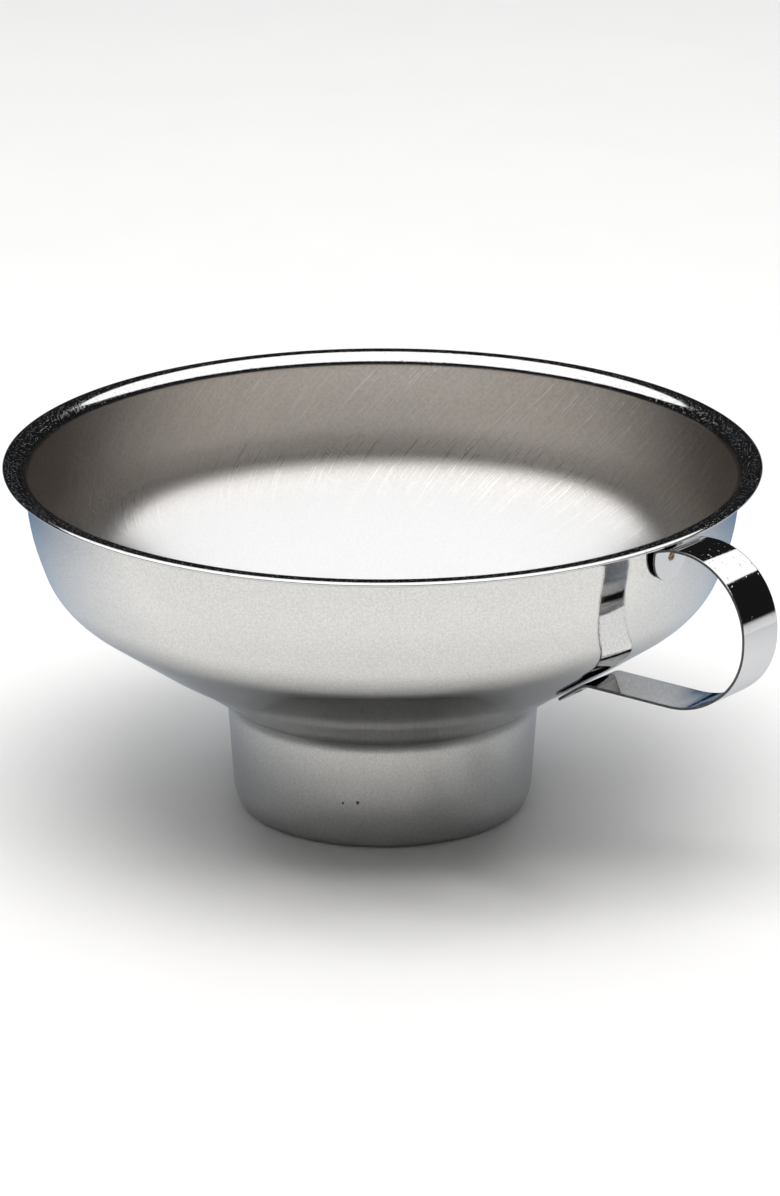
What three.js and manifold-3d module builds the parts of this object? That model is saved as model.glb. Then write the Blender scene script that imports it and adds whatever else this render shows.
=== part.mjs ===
// Wide-mouth canning funnel: a drawn sheet-steel body (flared lip, bowl, neck) with a loop handle
// made of one polished strip, spot-welded under the lip and on the underside of the bowl.
// Millimetres, +Z up. The neck stands on Z = 0, the handle points along +X.

import * as THREE from 'three';
import Module from 'manifold-3d';

const wasm = await Module();
wasm.setup();
const { Manifold, Mesh: ManifoldMesh } = wasm;

// ---- driving dimensions (mm) ----

const SHEET = 0.6;                 // thickness of the body's sheet
const MOUTH_RADIUS = 70.0;         // outside edge of the lip
const HEIGHT = 66.5;               // table to the top of the lip
const NECK_END_RADIUS = 26.85;     // outside of the neck where it stands on the table
const NECK_HEIGHT = 20.9;          // table to the virtual corner between neck and cone
const NECK_TOP = 18.2;             // where the neck meets the fillet under the cone
const LIP_CURL = 2.1;              // inside of the curve from the wall out to the flat of the lip
const LIP_DROOP = 0.3;             // inside of the 45 degree droop at the lip's edge
const AROUND = 80;                 // facets around the body
const AROUND_WELD = 28;            // facets around a weld

const STRAP = 0.5;                 // thickness of the handle strip
const STRAP_WIDTH = 10.0;
const REACH = 86.55;               // funnel axis to the outside of the loop
const FIT_GAP = 0.3;               // clearance between pieces that touch

const WELD_RADIUS = 1.3;           // fused nugget of one spot weld
const UPPER_WELD_FROM_END = 4.6;
const LOWER_WELD_FROM_END = 3.6;
const CUT_DEPTH = 3;               // through the strip, with room on both sides

// The overall box is centred on the origin, so the funnel axis sits this far along X.
const AXIS_X = (MOUTH_RADIUS - REACH) / 2;

const DEG = Math.PI / 180;

// ---- profile helpers ----

// A polyline through the corners with each inner corner rounded to its own radius.
function roundedPath(corners, degreesPerStep) {
  const path = [new THREE.Vector2(corners[0].x, corners[0].z)];
  for (let i = 1; i < corners.length - 1; i += 1) {
    const before = new THREE.Vector2(corners[i - 1].x, corners[i - 1].z);
    const here = new THREE.Vector2(corners[i].x, corners[i].z);
    const after = new THREE.Vector2(corners[i + 1].x, corners[i + 1].z);
    const into = here.clone().sub(before).normalize();
    const out = after.clone().sub(here).normalize();
    const turn = Math.atan2(into.cross(out), into.dot(out));
    const radius = corners[i].radius;
    const reach = radius * Math.tan(Math.abs(turn) / 2);
    const side = Math.sign(turn);
    const start = here.clone().addScaledVector(into, -reach);
    const centre = start.clone().add(
      new THREE.Vector2(-into.y, into.x).multiplyScalar(side * radius));
    const steps = Math.max(2, Math.ceil(Math.abs(turn) / DEG / degreesPerStep));
    for (let k = 0; k <= steps; k += 1) {
      path.push(start.clone().rotateAround(centre, (turn * k) / steps));
    }
  }
  const last = corners[corners.length - 1];
  path.push(new THREE.Vector2(last.x, last.z));
  return path;
}

// Unit normals on the left of the path's direction of travel.
function leftNormals(path) {
  return path.map((point, i) => {
    const a = path[Math.max(i - 1, 0)];
    const b = path[Math.min(i + 1, path.length - 1)];
    const along = b.clone().sub(a).normalize();
    return new THREE.Vector2(-along.y, along.x);
  });
}

function offsetPath(path, distance) {
  const normals = leftNormals(path);
  return path.map((point, i) => point.clone().addScaledVector(normals[i], distance));
}

// Where a rising path crosses a height.
function crossing(path, z) {
  const after = path.findIndex((point) => point.y > z);
  const low = path[after - 1];
  const high = path[after];
  return { after, point: low.clone().lerp(high, (z - low.y) / (high.y - low.y)) };
}

// The stretch of a rising path above a height, cut off level.
function above(path, z) {
  const cut = crossing(path, z);
  return [cut.point, ...path.slice(cut.after)];
}

// The stretch of a rising path below a height, cut off level.
function below(path, z) {
  const cut = crossing(path, z);
  return [...path.slice(0, cut.after), cut.point];
}

function steel(colour, roughness) {
  return new THREE.MeshStandardMaterial({ color: colour, roughness, metalness: 1 });
}

function named(name, geometry, material) {
  const mesh = new THREE.Mesh(geometry, material);
  mesh.name = name;
  return mesh;
}

// ---- solid helpers for cuts ----

function toManifold(geometry) {
  const position = geometry.getAttribute('position');
  const index = geometry.getIndex();
  const count = index ? index.count : position.count;
  const keys = new Map();
  const vertices = [];
  const triangles = [];
  for (let i = 0; i < count; i += 1) {
    const v = index ? index.getX(i) : i;
    const xyz = [position.getX(v), position.getY(v), position.getZ(v)];
    const key = xyz.map((n) => Math.round(n * 1e5)).join(',');
    if (!keys.has(key)) {
      keys.set(key, vertices.length / 3);
      vertices.push(...xyz);
    }
    triangles.push(keys.get(key));
  }
  return new Manifold(new ManifoldMesh({
    numProp: 3,
    vertProperties: new Float32Array(vertices),
    triVerts: new Uint32Array(triangles),
  }));
}

function fromManifold(solid) {
  const mesh = solid.getMesh();
  const indexed = new THREE.BufferGeometry();
  indexed.setAttribute('position', new THREE.BufferAttribute(mesh.vertProperties, 3));
  indexed.setIndex(new THREE.BufferAttribute(mesh.triVerts, 1));
  const geometry = indexed.toNonIndexed();
  geometry.computeVertexNormals();
  return geometry;
}

// ---- body: one drawn sheet, carried as a bowl and a neck ----

// Outside face of the sheet, from just under the table up to the drooping lip.
function sheetOutside() {
  const droopX = MOUTH_RADIUS - 0.57;
  const lipZ = HEIGHT - SHEET;
  return roundedPath([
    { x: NECK_END_RADIUS - 0.5, z: -1.0 },
    { x: 27.85, z: 2.0, radius: 8.5 },
    { x: 29.1, z: NECK_HEIGHT, radius: 4 },
    { x: 38.0, z: 27.35, radius: 40 },
    { x: 44.0, z: 31.0, radius: 60 },
    { x: 61.3, z: 43.2, radius: 14.2 },
    { x: 65.6, z: 55.7, radius: 40 },
    { x: 65.95, z: lipZ, radius: LIP_CURL },
    { x: droopX, z: lipZ, radius: LIP_DROOP },
    { x: droopX + 0.14, z: lipZ - 0.14 },
  ], 15);
}

function sheetInside() {
  return offsetPath(sheetOutside(), SHEET);
}

// A ring turned from the sheet between an outside and an inside face.
function sheetRing(name, outside, inside) {
  const section = [...outside, ...inside.reverse()];
  section.push(section[0].clone());
  const geometry = new THREE.LatheGeometry(section, AROUND);
  geometry.rotateX(Math.PI / 2);
  geometry.translate(AXIS_X, 0, 0);
  return named(name, geometry, steel(0xd4d3cf, 0.28));
}

function bowl() {
  const foot = NECK_TOP + FIT_GAP;
  return sheetRing('bowl', above(sheetOutside(), foot), above(sheetInside(), foot));
}

function neck() {
  return sheetRing('neck',
    below(above(sheetOutside(), 0), NECK_TOP),
    below(above(sheetInside(), 0), NECK_TOP));
}

// ---- handle ----

// Face of the strip that is outermost on the loop, from the upper tab round to the lower tab.
const STRAP_CORNERS = [
  { x: 65.88, z: 57.6 },
  { x: 66.36, z: 64.35, radius: 1.3 },
  { x: 69.9, z: 65.35, radius: 3 },
  { x: REACH + 0.3, z: 65.85, radius: 14.1 },
  { x: REACH - 0.1, z: 44.0, radius: 13.8 },
  { x: 76.1, z: 35.6, radius: 17.8 },
  { x: 51.3, z: 35.1, radius: 3.2 },
  { x: 43.3, z: 29.55 },
];

// Thin band that follows the outer path, still cut off square at both ends.
function strapBand() {
  const outer = roundedPath(STRAP_CORNERS, 8);
  const inner = offsetPath(outer, -STRAP);
  const shape = new THREE.Shape([...outer, ...inner.reverse()]);
  const geometry = new THREE.ExtrudeGeometry(shape, {
    depth: STRAP_WIDTH,
    bevelEnabled: false,
  });
  geometry.rotateX(Math.PI / 2);
  geometry.translate(AXIS_X, STRAP_WIDTH / 2, 0);
  return toManifold(geometry);
}

// Place on a tab, measured from its end: middle of the thickness, and the turn about Y
// that points local X along the strip and local Z through it.
function tabFrame(end, next, distance, side) {
  const tip = new THREE.Vector2(end.x, end.z);
  const along = new THREE.Vector2(next.x, next.z).sub(tip).normalize();
  const through = new THREE.Vector2(along.y, -along.x).multiplyScalar(side);
  const middle = tip.addScaledVector(along, distance).addScaledVector(through, STRAP / 2);
  return { x: middle.x, z: middle.y, turn: -Math.atan2(along.y, along.x) };
}

function upperTab(distance) {
  return tabFrame(STRAP_CORNERS[0], STRAP_CORNERS[1], distance, 1);
}

function lowerTab(distance) {
  const last = STRAP_CORNERS.length - 1;
  return tabFrame(STRAP_CORNERS[last], STRAP_CORNERS[last - 1], distance, -1);
}

function placed(geometry, frame) {
  geometry.rotateY(frame.turn);
  geometry.translate(AXIS_X + frame.x, 0, frame.z);
  return geometry;
}

// Block with a half-round bite: taking it away leaves a full round end on a tab.
function endCutter(frame) {
  const half = STRAP_WIDTH / 2;
  const outline = new THREE.Shape();
  outline.moveTo(0, -half);
  outline.absarc(0, 0, half, -Math.PI / 2, Math.PI / 2, true);
  outline.lineTo(0, half + 1);
  outline.lineTo(-half - 2, half + 1);
  outline.lineTo(-half - 2, -half - 1);
  outline.lineTo(0, -half - 1);
  const block = new THREE.ExtrudeGeometry(outline, {
    depth: CUT_DEPTH,
    bevelEnabled: false,
    curveSegments: 24,
  });
  block.translate(0, 0, -CUT_DEPTH / 2);
  return toManifold(placed(block, frame));
}

function weldCylinder(frame, radius, length) {
  const cylinder = new THREE.CylinderGeometry(radius, radius, length, AROUND_WELD);
  cylinder.rotateX(Math.PI / 2);
  return placed(cylinder, frame);
}

function handleStrap() {
  const half = STRAP_WIDTH / 2;
  const hole = WELD_RADIUS + FIT_GAP;
  const solid = strapBand()
    .subtract(endCutter(upperTab(half)))
    .subtract(endCutter(lowerTab(half)))
    .subtract(toManifold(weldCylinder(upperTab(UPPER_WELD_FROM_END), hole, CUT_DEPTH)))
    .subtract(toManifold(weldCylinder(lowerTab(LOWER_WELD_FROM_END), hole, CUT_DEPTH)));
  return named('handle_strap', fromManifold(solid), steel(0xdcdde0, 0.08));
}

// ---- welds ----

function spotWeld(name, frame) {
  return named(name, weldCylinder(frame, WELD_RADIUS, STRAP), steel(0x6b5a48, 0.5));
}

function canningFunnel() {
  const funnel = new THREE.Group();
  funnel.name = 'canning_funnel';
  funnel.add(
    bowl(),
    neck(),
    handleStrap(),
    spotWeld('upper_spot_weld', upperTab(UPPER_WELD_FROM_END)),
    spotWeld('lower_spot_weld', lowerTab(LOWER_WELD_FROM_END)),
  );
  return funnel;
}

export default canningFunnel();
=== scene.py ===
"""Looks of the canning funnel: satin drawn body, polished loop handle, heat-tinted spot welds."""

import math

import bpy
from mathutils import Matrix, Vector


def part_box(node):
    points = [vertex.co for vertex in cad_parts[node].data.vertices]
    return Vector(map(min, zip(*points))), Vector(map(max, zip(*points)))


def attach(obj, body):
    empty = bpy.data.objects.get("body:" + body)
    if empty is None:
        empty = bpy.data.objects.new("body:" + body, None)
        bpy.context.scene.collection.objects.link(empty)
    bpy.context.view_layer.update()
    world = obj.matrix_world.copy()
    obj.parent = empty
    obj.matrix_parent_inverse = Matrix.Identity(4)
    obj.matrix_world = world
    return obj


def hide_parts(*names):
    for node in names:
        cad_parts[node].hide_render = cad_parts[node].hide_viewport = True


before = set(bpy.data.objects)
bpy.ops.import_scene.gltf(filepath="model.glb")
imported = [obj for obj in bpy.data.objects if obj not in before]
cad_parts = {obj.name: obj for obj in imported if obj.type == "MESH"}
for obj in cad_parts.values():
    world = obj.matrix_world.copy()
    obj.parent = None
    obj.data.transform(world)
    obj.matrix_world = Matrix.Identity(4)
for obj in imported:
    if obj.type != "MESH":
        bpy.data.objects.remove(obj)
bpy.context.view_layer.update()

MM = 0.001
DEG = math.pi / 180

# ---- sizes (mm, measured from the funnel's own axis) ----

BOWL_LOW, BOWL_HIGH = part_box("bowl")
AXIS_X = (BOWL_LOW[0] + BOWL_HIGH[0]) / 2
MOUTH_RADIUS = (BOWL_HIGH[0] - BOWL_LOW[0]) / 2 / MM
HEIGHT = BOWL_HIGH[2] / MM
LOOP_BULGE = 0.035  # the loop's outermost point stands about this far past REACH
REACH = (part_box("handle_strap")[1][0] - AXIS_X) / MM - LOOP_BULGE

SHEET = 0.6  # thickness of the body
NECK_END_RADIUS = 26.85
NECK_HEIGHT = 20.9
LIP_CURL = 2.1
LIP_DROOP = 0.3
DROOP_FROM_EDGE = 0.605  # lip's outside edge to the corner where the lip starts to droop
EDGE_RADIUS = 0.18
EDGE_START = (0.11, 0.05)  # first step of the rounded lip edge, outwards and into the sheet
FOOT_EASE = 0.08  # the neck's cut edge is eased by this much into the sheet
FOOT_RISE = 0.06

STRAP = 0.5  # thickness of the strip
STRAP_WIDTH = 10.0
STRAP_BEVEL = 0.12
UPPER_WELD_FROM_END = 4.6
LOWER_WELD_FROM_END = 3.6

BODY_GAP = 1.5  # longest step along the body's profile
AROUND_BODY = 320
STRAP_GAP = 0.35  # step along the strap's straight-sided stretch
END_STEPS = 14  # in each round end of the strap
AROUND_WELD = 40

# Viewing direction: the handle stands this far round from the right of the picture.
HANDLE_TURN = 39.68 * DEG
RIGHT = Vector((math.cos(HANDLE_TURN), math.sin(HANDLE_TURN), 0))
AWAY = Vector((-math.sin(HANDLE_TURN), math.cos(HANDLE_TURN), 0))


def from_viewer(right, away, up):
    """A point in metres right of, beyond and above the foot of the funnel's axis."""
    return Vector((AXIS_X, 0, 0)) + RIGHT * right + AWAY * away + Vector((0, 0, up))


# ---- profiles ----


def rounded_path(corners, step):
    """Polyline through (x, z, radius) corners with each inner corner rounded, step in degrees."""
    path = [Vector(corners[0][:2])]
    for before, here, after in zip(corners, corners[1:], corners[2:]):
        corner = Vector(here[:2])
        into = (corner - Vector(before[:2])).normalized()
        out = (Vector(after[:2]) - corner).normalized()
        turn = math.atan2(into.x * out.y - into.y * out.x, into.dot(out))
        reach = here[2] * math.tan(abs(turn) / 2)
        start = corner - into * reach
        side = math.copysign(here[2], turn)
        centre = start + Vector((-into.y, into.x)) * side
        steps = max(3, math.ceil(abs(turn) / DEG / step))
        for k in range(steps + 1):
            angle = turn * k / steps
            arm = start - centre
            path.append(centre + Vector((
                arm.x * math.cos(angle) - arm.y * math.sin(angle),
                arm.x * math.sin(angle) + arm.y * math.cos(angle),
            )))
    path.append(Vector(corners[-1][:2]))
    return path


def evenly(path, gap):
    """The same path with extra points wherever two are further apart than gap."""
    out = [path[0]]
    for a, b in zip(path, path[1:]):
        parts = max(1, math.ceil((b - a).length / gap))
        out += [a.lerp(b, k / parts) for k in range(1, parts + 1)]
    return out


def left_normals(path):
    normals = []
    for i in range(len(path)):
        along = (path[min(i + 1, len(path) - 1)] - path[max(i - 1, 0)]).normalized()
        normals.append(Vector((-along.y, along.x)))
    return normals


def offset(path, distance):
    return [p + n * distance for p, n in zip(path, left_normals(path))]


def above_table(path):
    first = next(i for i, p in enumerate(path) if p.y > 0)
    low, high = path[first - 1], path[first]
    return [low.lerp(high, -low.y / (high.y - low.y))] + path[first:]


def sheet_outside():
    """Outside face of the body, from just under the table up to the drooping lip."""
    droop_x = MOUTH_RADIUS - DROOP_FROM_EDGE
    lip_z = HEIGHT - SHEET
    return rounded_path([
        (NECK_END_RADIUS - 0.5, -1.0),
        (27.85, 2.0, 8.5),
        (29.1, NECK_HEIGHT, 4),
        (38.0, 27.35, 40),
        (44.0, 31.0, 60),
        (61.3, 43.2, 14.2),
        (65.6, 55.7, 40),
        (65.95, lip_z, LIP_CURL),
        (droop_x, lip_z, LIP_DROOP),
        (droop_x + 0.13, lip_z - 0.13),
    ], 3)


# Face of the strip that is outermost on the loop, from the upper tab round to the lower tab.
STRAP_CORNERS = [
    (65.88, 57.6),
    (66.36, 64.35, 1.3),
    (69.9, 65.35, 3),
    (REACH + 0.3, 65.85, 14.1),
    (REACH - 0.1, 44.0, 13.8),
    (76.1, 35.6, 17.8),
    (51.3, 35.1, 3.2),
    (43.3, 29.55),
]


# ---- meshes ----


def new_object(name, vertices, faces):
    mesh = bpy.data.meshes.new(name)
    mesh.from_pydata(vertices, [], faces)
    mesh.validate()
    for polygon in mesh.polygons:
        polygon.use_smooth = True
    obj = bpy.data.objects.new(name, mesh)
    bpy.context.collection.objects.link(obj)
    return obj


def lathe(name, section, around):
    """Closed ring: the section (mm, closed on itself) turned about the object's own Z axis."""
    count = len(section)
    vertices = []
    for j in range(around):
        a = 2 * math.pi * j / around
        vertices += [(p.x * MM * math.cos(a), p.x * MM * math.sin(a), p.y * MM) for p in section]
    faces = []
    for j in range(around):
        k = (j + 1) % around
        for i in range(count):
            n = (i + 1) % count
            faces.append((j * count + i, k * count + i, k * count + n, j * count + n))
    obj = new_object(name, vertices, faces)
    obj.location.x = AXIS_X
    return obj


def make_body():
    """One sheet from the neck's end to the lip; material 0 outside, 1 inside."""
    outside = above_table(evenly(sheet_outside(), BODY_GAP))
    inside = above_table(evenly(offset(sheet_outside(), SHEET), BODY_GAP))
    down = (outside[-1] - outside[-2]).normalized()
    up = Vector((-down.y, down.x))
    start = down * EDGE_START[0]
    inset = up * EDGE_START[1]
    cut = [
        outside[-1] + start + inset,
        outside[-1] + down * EDGE_RADIUS + up * EDGE_RADIUS,
        inside[-1] + down * EDGE_RADIUS - up * EDGE_RADIUS,
        inside[-1] + start - inset,
    ]
    foot = [
        inside[0] + Vector((FOOT_EASE / 4, FOOT_RISE)),
        inside[0] + Vector((FOOT_EASE, 0)),
        outside[0] + Vector((-FOOT_EASE, 0)),
        outside[0] + Vector((-FOOT_EASE / 4, FOOT_RISE)),
    ]
    section = outside[1:] + cut + inside[:0:-1] + foot
    body = lathe("drawn_body", section, AROUND_BODY)
    split = len(outside) - 1
    count = len(section)
    for polygon in body.data.polygons:
        row = polygon.index % count
        polygon.material_index = 0 if row < split or row >= count - 2 else 1
    return body


def half_width(distance, length):
    """Half the strip's width that far along it, with full round ends."""
    full = STRAP_WIDTH / 2
    from_end = min(distance, length - distance)
    if from_end >= full:
        return full
    return math.sqrt(max(full ** 2 - (full - from_end) ** 2, 0.02))


def end_stations(length):
    """Distances along the strip, close together in the round ends."""
    full = STRAP_WIDTH / 2
    near = [full * (1 - math.cos(math.pi / 2 * k / END_STEPS)) for k in range(END_STEPS)]
    middle = full
    out = near[:]
    while middle < length - full:
        out.append(middle)
        middle += STRAP_GAP
    out.append(length - full)
    out += [length - d for d in reversed(near)]
    return out


def strap_ring(w):
    """Section of the strip at half-width w, as (across, through), with slightly eased edges."""
    t = STRAP / 2
    b = min(STRAP_BEVEL, w * 0.5)
    s = min(0.25, w * 0.7)
    eased = STRAP_BEVEL * 0.3
    near_side = [
        (-w + s, t),
        (-w + b, t),
        (-w + b * 0.3, t - eased),
        (-w, t - STRAP_BEVEL),
        (-w, -t + STRAP_BEVEL),
        (-w + b * 0.3, -t + eased),
        (-w + b, -t),
        (-w + s, -t),
    ]
    far_side = [(-across, through) for across, through in reversed(near_side)]
    return near_side + [(0, -t)] + far_side + [(0, t)]


RING_COUNT = 18  # points in strap_ring
# These edge rows and the end caps take the near-black edge material, which is painted shade for the
# dark outline and gap shadow round the strip.
PAINTED_SHADE_EDGE_ROWS = (1, 2, 3, 4, 5, 10, 11, 12, 13, 14)  # faces of the ring that lie on its edges


def strap_centre_line():
    """Function from a distance along the strip to its middle point and normal, and the length."""
    middle = offset(rounded_path(STRAP_CORNERS, 2), -STRAP / 2)
    normals = left_normals(middle)
    lengths = [0.0]
    for a, b in zip(middle, middle[1:]):
        lengths.append(lengths[-1] + (b - a).length)
    last = len(lengths) - 1

    def at(distance):
        i = next((k for k in range(1, last) if lengths[k] >= distance), last)
        share = (distance - lengths[i - 1]) / max(lengths[i] - lengths[i - 1], 1e-9)
        point = middle[i - 1].lerp(middle[i], share)
        return point, normals[i - 1].lerp(normals[i], share).normalized()

    return at, lengths[-1]


def make_strap():
    at, length = strap_centre_line()
    vertices = []
    stations = end_stations(length)
    for distance in stations:
        point, normal = at(distance)
        for across, through in strap_ring(half_width(distance, length)):
            p = point + normal * through
            vertices.append((p.x * MM, across * MM, p.y * MM))
    faces = []
    for j in range(len(stations) - 1):
        here = j * RING_COUNT
        ahead = here + RING_COUNT
        for i in range(RING_COUNT):
            n = (i + 1) % RING_COUNT
            faces.append((here + i, here + n, ahead + n, ahead + i))
    walls = len(faces)
    last = (len(stations) - 1) * RING_COUNT
    faces.append(tuple(range(RING_COUNT - 1, -1, -1)))
    faces.append(tuple(last + i for i in range(RING_COUNT)))
    strap = new_object("polished_strap", vertices, faces)
    for polygon in strap.data.polygons:
        # Edge rows and end caps get material 1, the near-black painted shade of the edges.
        at_edge = polygon.index >= walls or polygon.index % RING_COUNT in PAINTED_SHADE_EDGE_ROWS
        polygon.material_index = 1 if at_edge else 0
    strap.location.x = AXIS_X
    return strap


def tab_place(end, following, distance, side, through):
    """Point (mm) on a tab and the direction along it; through is measured from mid-thickness."""
    tip, along = Vector(end), (Vector(following) - Vector(end)).normalized()
    normal = Vector((along.y, -along.x)) * side
    point = tip + along * distance + normal * (STRAP / 2 + through)
    return point, along, normal


# Half-section of a weld mark: radius and height above the tab's face.
WELD_PROFILE = [
    (0.0, 0.0),
    (0.2, 0.0),
    (0.3, 0.05),
    (0.5, 0.10),
    (0.65, 0.10),
    (0.8, 0.05),
    (0.92, 0.0),
    (0.95, -0.1),
    (0.0, -0.1),
]


def make_weld(name, place):
    """Shallow crater with a raised, slightly uneven rim, standing on the tab's free face."""
    point, along, normal = place
    vertices, faces = [], []
    for radius, height in WELD_PROFILE:
        for k in range(AROUND_WELD):
            a = 2 * math.pi * k / AROUND_WELD
            wobble = 1 + 0.05 * math.sin(3 * a + 0.6) + 0.03 * math.sin(5 * a + 2.0)
            p = point + along * (radius * wobble * math.cos(a)) + normal * height
            vertices.append((p.x * MM, radius * wobble * math.sin(a) * MM, p.y * MM))
    for j in range(len(WELD_PROFILE) - 1):
        here = j * AROUND_WELD
        ahead = here + AROUND_WELD
        for k in range(AROUND_WELD):
            n = (k + 1) % AROUND_WELD
            faces.append((here + k, here + n, ahead + n, ahead + k))
    weld = new_object(name, vertices, faces)
    weld.location.x = AXIS_X
    return weld


# ---- materials ----


class Nodes:
    """Short way to write a node tree."""

    def __init__(self, name):
        self.material = bpy.data.materials.new(name)
        self.material.use_nodes = True
        self.tree = self.material.node_tree
        self.shader = self.tree.nodes["Principled BSDF"]

    def add(self, kind, settings=None, **inputs):
        node = self.tree.nodes.new(kind)
        for key, value in (settings or {}).items():
            setattr(node, key, value)
        for key, value in inputs.items():
            self.put(node, key.replace("_", " "), value)
        return node

    def put(self, node, key, value):
        socket = node.inputs[int(key)] if key.isdigit() else node.inputs[key]
        if isinstance(value, bpy.types.NodeSocket):
            self.tree.links.new(value, socket)
        elif isinstance(value, bpy.types.Node):
            self.tree.links.new(value.outputs[0], socket)
        else:
            socket.default_value = value

    def math(self, operation, a, b=0.0):
        node = self.tree.nodes.new("ShaderNodeMath")
        node.operation = operation
        self.put(node, "0", a)
        self.put(node, "1", b)
        return node.outputs[0]

    def coords(self):
        return self.add("ShaderNodeTexCoord").outputs["Object"]

    def noise(self, vector, scale, detail=2.0, roughness=0.5):
        node = self.add("ShaderNodeTexNoise", Vector=vector, Scale=scale, Detail=detail,
                        Roughness=roughness)
        return node.outputs["Fac"]

    def near(self, where, points, radius, core):
        """1 within core of any of the points, falling to 0 at radius."""
        nearest = None
        for point in points:
            distance = self.add("ShaderNodeVectorMath", {"operation": "DISTANCE"})
            self.put(distance, "0", where)
            distance.inputs[1].default_value = point
            spot = self.ramp(distance.outputs["Value"], radius, core)
            nearest = spot if nearest is None else self.math("MAXIMUM", nearest, spot)
        return nearest

    def ramp(self, value, low, high, out_low=0.0, out_high=1.0):
        node = self.add("ShaderNodeMapRange", Value=value)
        node.inputs["From Min"].default_value = low
        node.inputs["From Max"].default_value = high
        node.inputs["To Min"].default_value = out_low
        node.inputs["To Max"].default_value = out_high
        return node.outputs[0]

    def blend(self, factor, a, b):
        node = self.add("ShaderNodeMix", {"data_type": "RGBA"})
        self.put(node, "Factor", factor)
        for socket, value in (("A", a), ("B", b)):
            target = [s for s in node.inputs if s.name == socket and s.type == "RGBA"][0]
            if isinstance(value, bpy.types.NodeSocket):
                self.tree.links.new(value, target)
            else:
                target.default_value = (*value, 1)
        return [s for s in node.outputs if s.type == "RGBA"][0]

    def bump(self, height, distance, strength=1.0, normal=None):
        node = self.add("ShaderNodeBump", Height=height, Distance=distance, Strength=strength)
        if normal is not None:
            self.tree.links.new(normal, node.inputs["Normal"])
        return node.outputs[0]

    def separate(self, vector):
        return self.add("ShaderNodeSeparateXYZ", Vector=vector).outputs

    def polar(self):
        """Angle round the axis, distance from it and height, from the object's own coordinates."""
        x, y, z = self.separate(self.coords())
        angle = self.math("ARCTAN2", y, x)
        radius = self.math("SQRT", self.math("ADD", self.math("MULTIPLY", x, x),
                                             self.math("MULTIPLY", y, y)))
        return angle, radius, z

    def combine(self, x, y, z=0.0):
        return self.add("ShaderNodeCombineXYZ", X=x, Y=y, Z=z).outputs[0]


def turned_lines(n, radius, z, angle, scale):
    """Fine circular lines left by spinning, a little uneven round the axis."""
    drift = n.math("MULTIPLY", angle, 0.12)
    rings = n.combine(n.math("MULTIPLY", radius, scale), n.math("MULTIPLY", z, scale), drift)
    return n.noise(rings, 1.0, 3.0, 0.6)


def outer_steel(pits):
    """Satin outside with a fine grain; pits are (point, radius) of tiny dark flaws, metres."""
    n = Nodes("body_outside_satin")
    where = n.coords()
    angle, radius, z = n.polar()
    grain = n.noise(where, 2700.0, 2.0, 0.6)
    cloud = n.noise(where, 55.0, 3.0, 0.55)
    lines = turned_lines(n, radius, z, angle, 2600.0)
    colour = n.blend(n.ramp(grain, 0.34, 0.66), (0.575, 0.57, 0.555), (0.705, 0.70, 0.685))
    flaw = 0.0
    for point, size in pits:
        flaw = n.math("MAXIMUM", flaw, n.near(where, [point], size, size * 0.5))
    n.put(n.shader, "Base Color", n.blend(flaw, colour, (0.07, 0.065, 0.06)))
    n.put(n.shader, "Metallic", 1.0)
    rough = n.math("ADD", n.ramp(cloud, 0.3, 0.7, 0.035, 0.055), n.math("MULTIPLY", grain, 0.02))
    n.put(n.shader, "Roughness", n.math("ADD", rough, n.math("MULTIPLY", flaw, 0.4)))
    fine = n.bump(grain, 0.00001, 0.5)
    lined = n.bump(lines, 0.000006, 0.5, fine)
    n.put(n.shader, "Normal", n.bump(n.math("SUBTRACT", 1.0, flaw), 0.00008, 0.8, lined))
    return n.material


def scratches(n, around, z, slope, threshold):
    """Long thin handling marks running up the wall at a slope."""
    across = n.math("ADD", around, n.math("MULTIPLY", z, slope))
    along = n.math("SUBTRACT", z, n.math("MULTIPLY", around, slope))
    slant = n.combine(n.math("MULTIPLY", across, 3400.0), n.math("MULTIPLY", along, 70.0), slope)
    return n.ramp(n.noise(slant, 1.0, 2.0, 0.7), threshold, threshold + 0.12)


# Heights (m) over which the inside's finish changes from the cone to the wall and the lip.
SCRATCHES_START = (0.038, 0.047)
WARMTH_STARTS = (0.040, 0.050)
TURNING_RISES = (0.0475, 0.053)
ROUGHNESS_RISES = (0.0475, 0.054)
LIP_STARTS = (0.0643, 0.0649)


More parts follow.
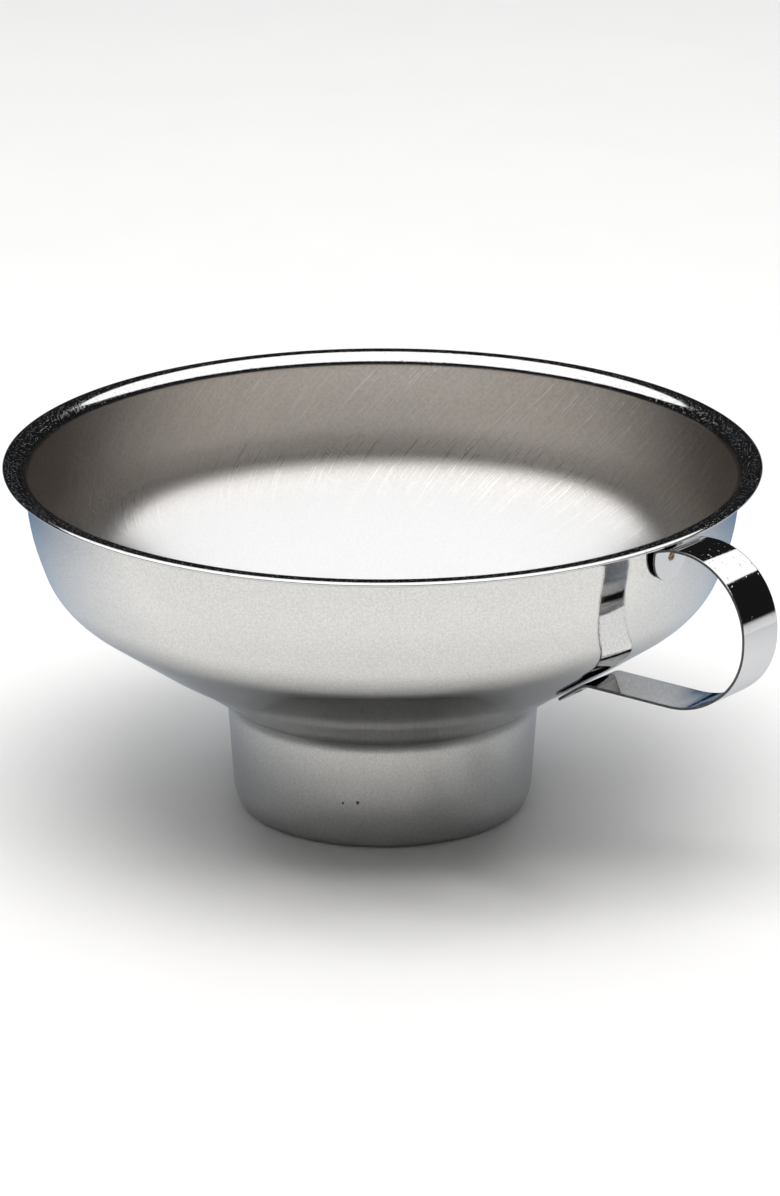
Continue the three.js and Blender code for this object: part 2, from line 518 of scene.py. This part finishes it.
def inner_steel():
    """Inside: satin cone, turned and scratched wall above it, and a bright lip."""
    n = Nodes("body_inside_brushed")
    angle, radius, z = n.polar()
    grain = n.noise(n.coords(), 1700.0, 2.0, 0.6)
    lines = turned_lines(n, radius, z, angle, 2200.0)
    lip = n.ramp(z, *LIP_STARTS)
    below_lip = n.math("SUBTRACT", 1.0, lip)

    around = n.math("MULTIPLY", angle, 0.06)
    rising = scratches(n, around, z, 0.8, 0.55)
    falling = scratches(n, around, z, -1.1, 0.62)
    patch = n.ramp(n.noise(n.coords(), 26.0, 2.0), 0.40, 0.60, 0.1, 0.8)
    on_wall = n.ramp(z, *SCRATCHES_START, 0.12, 1.0)
    marks = n.math("MULTIPLY", n.math("MAXIMUM", rising, falling),
                   n.math("MULTIPLY", patch, on_wall))

    speck = n.ramp(grain, 0.35, 0.65)
    cone = n.blend(speck, (0.655, 0.655, 0.655), (0.63, 0.63, 0.63))
    wall = n.blend(speck, (0.70, 0.64, 0.583), (0.605, 0.555, 0.508))
    speckled = n.blend(n.ramp(z, *WARMTH_STARTS), cone, wall)
    colour = n.blend(marks, speckled, (0.86, 0.83, 0.79))
    n.put(n.shader, "Base Color", n.blend(lip, colour, (0.66, 0.66, 0.655)))
    n.put(n.shader, "Metallic", 1.0)

    fine = n.math("MULTIPLY", n.math("ADD", grain, lines), 0.05)
    brushed = n.math("ADD", n.ramp(z, *ROUGHNESS_RISES, 0.25, 0.285), fine)
    satin = n.math("SUBTRACT", brushed, n.math("MULTIPLY", marks, 0.10))
    rough = n.math("ADD", n.math("MULTIPLY", satin, below_lip), n.math("MULTIPLY", lip, 0.05))
    n.put(n.shader, "Roughness", rough)
    turned = n.ramp(z, *TURNING_RISES, 0.6, 0.93)
    n.put(n.shader, "Anisotropic", n.math("MULTIPLY", below_lip, turned))
    n.put(n.shader, "Anisotropic Rotation", 0.25)
    tangent = n.add("ShaderNodeTangent", {"direction_type": "RADIAL", "axis": "Z"})
    n.put(n.shader, "Tangent", tangent)

    spokes = n.combine(n.math("MULTIPLY", angle, 200.0), n.math("MULTIPLY", radius, 2400.0))
    streaks = n.ramp(n.noise(spokes, 1.0, 2.0, 0.6), 0.62, 0.72)
    first = n.bump(grain, 0.000015, 0.4)
    second = n.bump(lines, 0.00001, 0.4, first)
    third = n.bump(marks, 0.000012, 0.5, second)
    n.put(n.shader, "Normal", n.bump(n.math("MULTIPLY", streaks, lip), 0.00004, 0.6, third))
    return n.material


TINT_REACH = (0.0014, 0.0006)  # from a weld's middle (m): where its heat tint ends, and is full


def strap_steel(weld_points):
    """Mirror polish with hairlines and nicks, and a heat tint round each weld."""
    n = Nodes("handle_mirror_polish")
    where = n.coords()
    x, y, z = n.separate(where)
    wander = n.noise(where, 90.0, 2.0, 0.5)
    lengthwise = n.combine(n.math("MULTIPLY", y, 5200.0), n.math("MULTIPLY", x, 45.0),
                           n.math("MULTIPLY", z, 45.0))
    hairline = n.noise(lengthwise, 1.0, 3.0, 0.6)
    marks = n.ramp(hairline, 0.58, 0.76)
    tint = n.near(where, weld_points, *TINT_REACH)
    uneven = n.math("MULTIPLY", tint, n.ramp(n.noise(where, 900.0, 2.0), 0.35, 0.6))
    clean = n.blend(marks, (0.64, 0.64, 0.645), (0.70, 0.70, 0.71))
    n.put(n.shader, "Base Color", n.blend(uneven, clean, (0.55, 0.38, 0.20)))
    n.put(n.shader, "Metallic", 1.0)
    rough = n.math("ADD", 0.035, n.math("MULTIPLY", marks, 0.05))
    n.put(n.shader, "Roughness", n.math("ADD", rough, n.math("MULTIPLY", tint, 0.12)))
    nicks = n.ramp(n.noise(where, 1300.0, 1.0, 0.5), 0.70, 0.78)
    soft = n.bump(wander, 0.00003, 0.35)
    lined = n.bump(hairline, 0.000002, 0.4, soft)
    n.put(n.shader, "Normal", n.bump(nicks, 0.00003, 0.5, lined))
    return n.material


def painted_shade_edge_steel():
    """Sheared edges of the strip, dull beside the polish and painted near-black: painted shade for
    the dark outlines and gap shadows round the strip and its tabs.
    """
    n = Nodes("edge_painted_shade")
    where = n.coords()
    tear = n.noise(where, 2400.0, 3.0, 0.6)
    # Near-black base colour: painted shade standing for the shadowed gaps and dark outlines along
    # the strip's edges.
    colour = n.blend(n.ramp(tear, 0.3, 0.7), (0.05, 0.05, 0.052), (0.16, 0.16, 0.165))
    n.put(n.shader, "Base Color", colour)
    n.put(n.shader, "Metallic", 1.0)
    n.put(n.shader, "Roughness", n.ramp(tear, 0.3, 0.7, 0.35, 0.5))
    n.put(n.shader, "Normal", n.bump(tear, 0.00003, 0.5))
    return n.material


def weld_steel():
    n = Nodes("weld_heat_tint")
    where = n.coords()
    blotch = n.noise(where, 1500.0, 3.0, 0.6)
    colour = n.blend(n.ramp(blotch, 0.35, 0.65), (0.05, 0.035, 0.025), (0.42, 0.30, 0.18))
    n.put(n.shader, "Base Color", colour)
    n.put(n.shader, "Metallic", 1.0)
    n.put(n.shader, "Roughness", n.ramp(blotch, 0.3, 0.7, 0.3, 0.55))
    n.put(n.shader, "Normal", n.bump(blotch, 0.00004, 0.6))
    return n.material


def floor_material():
    n = Nodes("pale_floor")
    mottle = n.noise(n.coords(), 40.0, 3.0, 0.5)
    n.put(n.shader, "Base Color", n.blend(mottle, (0.83, 0.83, 0.83), (0.86, 0.86, 0.86)))
    n.put(n.shader, "Roughness", 0.8)
    n.put(n.shader, "Specular IOR Level", 0.0)
    return n.material


# ---- pieces ----


def place_piece(obj, slot, *nodes):
    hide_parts(*nodes)
    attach(obj, "root")


# Two tiny pits in the front of the neck: distance right of the axis, height and radius (mm).
PIT_PLACES = ((-7.3, 9.0, 0.28), (-4.6, 9.25, 0.42))
NECK_FACE = 28.31  # the neck's outside radius at the pits' height


def pit(side, height, size):
    spot = RIGHT * side - AWAY * math.sqrt(NECK_FACE ** 2 - side ** 2)
    return (spot.x * MM, spot.y * MM, height * MM), size * MM


body = make_body()
body.data.materials.append(outer_steel([pit(*place) for place in PIT_PLACES]))
body.data.materials.append(inner_steel())
place_piece(body, "body_steel", "bowl", "neck")

# Each mark stands on the face of its tab that is turned away from the body.
UPPER = tab_place(STRAP_CORNERS[0], STRAP_CORNERS[1][:2], UPPER_WELD_FROM_END, 1, STRAP / 2)
LOWER_POINT, LOWER_ALONG, LOWER_NORMAL = tab_place(
    STRAP_CORNERS[-1], STRAP_CORNERS[-2][:2], LOWER_WELD_FROM_END, -1, -STRAP / 2)
LOWER = (LOWER_POINT, LOWER_ALONG, -LOWER_NORMAL)

strap = make_strap()
strap.data.materials.append(strap_steel([
    (UPPER[0].x * MM, 0, UPPER[0].y * MM),
    (LOWER[0].x * MM, 0, LOWER[0].y * MM),
]))
# Material 1: painted shade on the strip's edges and ends.
strap.data.materials.append(painted_shade_edge_steel())
place_piece(strap, "polished_strap", "handle_strap")

tinted = weld_steel()
for weld_name, spot in (("upper_spot_weld", UPPER), ("lower_spot_weld", LOWER)):
    mark = make_weld(weld_name + "_mark", spot)
    mark.data.materials.append(tinted)
    place_piece(mark, "weld_steel", weld_name)


# ---- stage, light and camera (m) ----

FLOOR_REACH = 4.0
CARD_LIFT = 0.0004  # above the floor
OVERHEAD_RADIANCE = 1.54
ELLIPSE_SHARE = 0.785  # of the rectangle round it, which soft_light works out the power for
SIDE_FILL_POWER = 2.9
SIDE_FILL_CONE = 13 * DEG
SIDE_FILL_RADIUS = 0.06
GLOW_WIDTH = 3.0
GLOW_LIFT = 0.002


def flat_sheet(name, left, right, near, far):
    """Level rectangle (m) with its y axis running from the near side to the far side."""
    corners = [(left, near, 0), (right, near, 0), (right, far, 0), (left, far, 0)]
    return new_object(name, corners, [(0, 1, 2, 3)])


def make_floor():
    obj = flat_sheet("studio_floor", -FLOOR_REACH, FLOOR_REACH, -FLOOR_REACH, FLOOR_REACH)
    obj.data.materials.append(floor_material())
    return obj


def soft_light(name, place, width, height, radiance, colour=(1, 1, 1)):
    """Rectangular light facing straight down."""
    light = bpy.data.lights.new(name, "AREA")
    light.shape = "RECTANGLE"
    light.size = width
    light.size_y = height
    light.energy = radiance * math.pi * width * height
    light.color = colour
    obj = bpy.data.objects.new(name, light)
    obj.location = place
    obj.rotation_euler = (0, 0, HANDLE_TURN)
    bpy.context.collection.objects.link(obj)
    obj.visible_camera = False
    return obj


def side_fill(name, side):
    """Soft spot from one side, for the table under the rim; side is -1 (left) or 1 (right)."""
    light = bpy.data.lights.new(name, "SPOT")
    light.energy = SIDE_FILL_POWER
    light.spot_size = SIDE_FILL_CONE
    light.spot_blend = 1.0
    light.shadow_soft_size = SIDE_FILL_RADIUS
    obj = bpy.data.objects.new(name, light)
    obj.location = from_viewer(side * 0.5, 0.02, 0.6)
    target = from_viewer(side * 0.065, 0.005, 0)
    obj.rotation_euler = (target - obj.location).to_track_quat("-Z", "Y").to_euler()
    bpy.context.collection.objects.link(obj)
    obj.visible_glossy = False
    return obj


def card_material():
    """Pale beside the funnel, clouding over to blue-grey further back."""
    n = Nodes("blue_grey_card")
    where = n.coords()
    away = n.separate(where)["Y"]
    cloud = n.math("MULTIPLY", n.noise(where, 6.0, 2.0), 0.02)
    depth = n.ramp(n.math("ADD", away, cloud), -0.04, 0.16)
    n.put(n.shader, "Base Color", n.blend(depth, (0.85, 0.85, 0.85), (0.13, 0.20, 0.30)))
    n.put(n.shader, "Roughness", 0.9)
    n.put(n.shader, "Specular IOR Level", 0.0)
    return n.material


def make_reflection_card():
    """Blue-grey card lying behind the funnel; only the metal's reflections see it."""
    obj = flat_sheet("blue_grey_card", left=-2.5, right=0.32, near=-0.06, far=3)
    obj.location = from_viewer(0, 0, CARD_LIFT)
    obj.rotation_euler.z = HANDLE_TURN
    obj.data.materials.append(card_material())
    obj.visible_camera = False
    obj.visible_diffuse = False
    obj.visible_shadow = False
    return obj


make_floor()
# The overhead panel is for reflections alone; the wash, the key and the fills light the floor alone.
overhead = soft_light("overhead_softbox", from_viewer(-0.10, 0.04, 1.05), 3.2, 2.36,
                      OVERHEAD_RADIANCE * ELLIPSE_SHARE)
overhead.data.shape = "ELLIPSE"
overhead.rotation_euler.z += 4 * DEG
overhead.visible_diffuse = False
floor_wash = soft_light("floor_wash", from_viewer(0, 0.29, 1.06), 2.1, 1.78, 1.7)
floor_wash.visible_glossy = False
floor_key = soft_light("floor_key", from_viewer(0, -0.25, 1.0), 0.75, 0.75, 3.4,
                       colour=(1.0, 0.985, 0.955))
floor_key.visible_glossy = False
side_fill("side_fill_left", -1)
side_fill("side_fill_right", 1)
for glow_name, near, radiance in (("table_glow_near", 0.6, 0.07), ("table_glow_far", 1.2, 0.12)):
    place = from_viewer(near + GLOW_WIDTH / 2, 0.1, GLOW_LIFT)
    glow = soft_light(glow_name, place, GLOW_WIDTH, 2.4, radiance)
    glow.rotation_euler.x = math.pi
    glow.visible_diffuse = False
make_reflection_card()

world = bpy.data.worlds.new("studio")
world.use_nodes = True
world.node_tree.nodes["Background"].inputs["Color"].default_value = (0.012, 0.012, 0.013, 1)
bpy.context.scene.world = world

camera_data = bpy.data.cameras.new("camera")
camera = bpy.data.objects.new("camera", camera_data)
bpy.context.collection.objects.link(camera)
camera.location = from_viewer(0, -1.0, 0.3928)
aim_point = from_viewer(0.00137, 0, 0.03917)
camera.rotation_euler = (aim_point - camera.location).to_track_quat("-Z", "Y").to_euler()
camera_data.sensor_fit = "VERTICAL"
camera_data.sensor_height = 36
camera_data.lens = 171.67
camera_data.clip_start = 0.05
bpy.context.scene.camera = camera
bpy.context.scene.view_settings.view_transform = "Standard"
